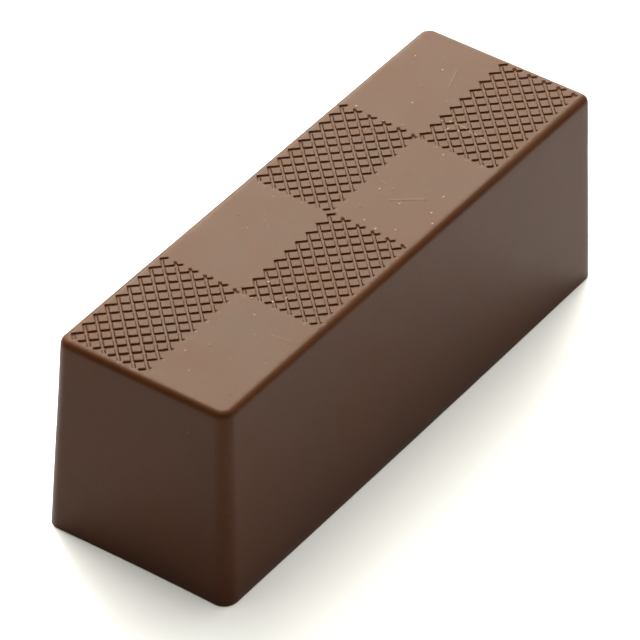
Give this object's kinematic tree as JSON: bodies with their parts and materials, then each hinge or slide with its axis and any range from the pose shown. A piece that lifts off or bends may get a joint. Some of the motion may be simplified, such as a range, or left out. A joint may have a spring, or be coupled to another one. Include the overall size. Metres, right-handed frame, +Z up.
{
  "type": "moulded filled chocolate",
  "caption": "Long moulded filled chocolate: drafted rectangular bar with rounded edges and a chequered crossed-groove relief on its top, over a ganache filling.",
  "frame": {"origin": "centre of the flat base, on the surface the chocolate stands on", "axes": "+X along the bar's length, +Y across it towards the long wall beside the grooved field of the -X end, +Z up out of the relief"},
  "size_m": [0.041, 0.014, 0.0148],
  "materials": {
    "chocolate_shell": "satin-gloss moulded chocolate, faint cloudy bloom on the top face, fine specks and scuffs",
    "ganache": "soft matte ganache",
    "chocolate_base": "scraped satin chocolate with fine drag lines"
  },
  "bodies": {
    "root": {"moulded_shell": "chocolate_shell", "filling": "ganache", "base_cap": "chocolate_base"}
  },
  "joints": []
}
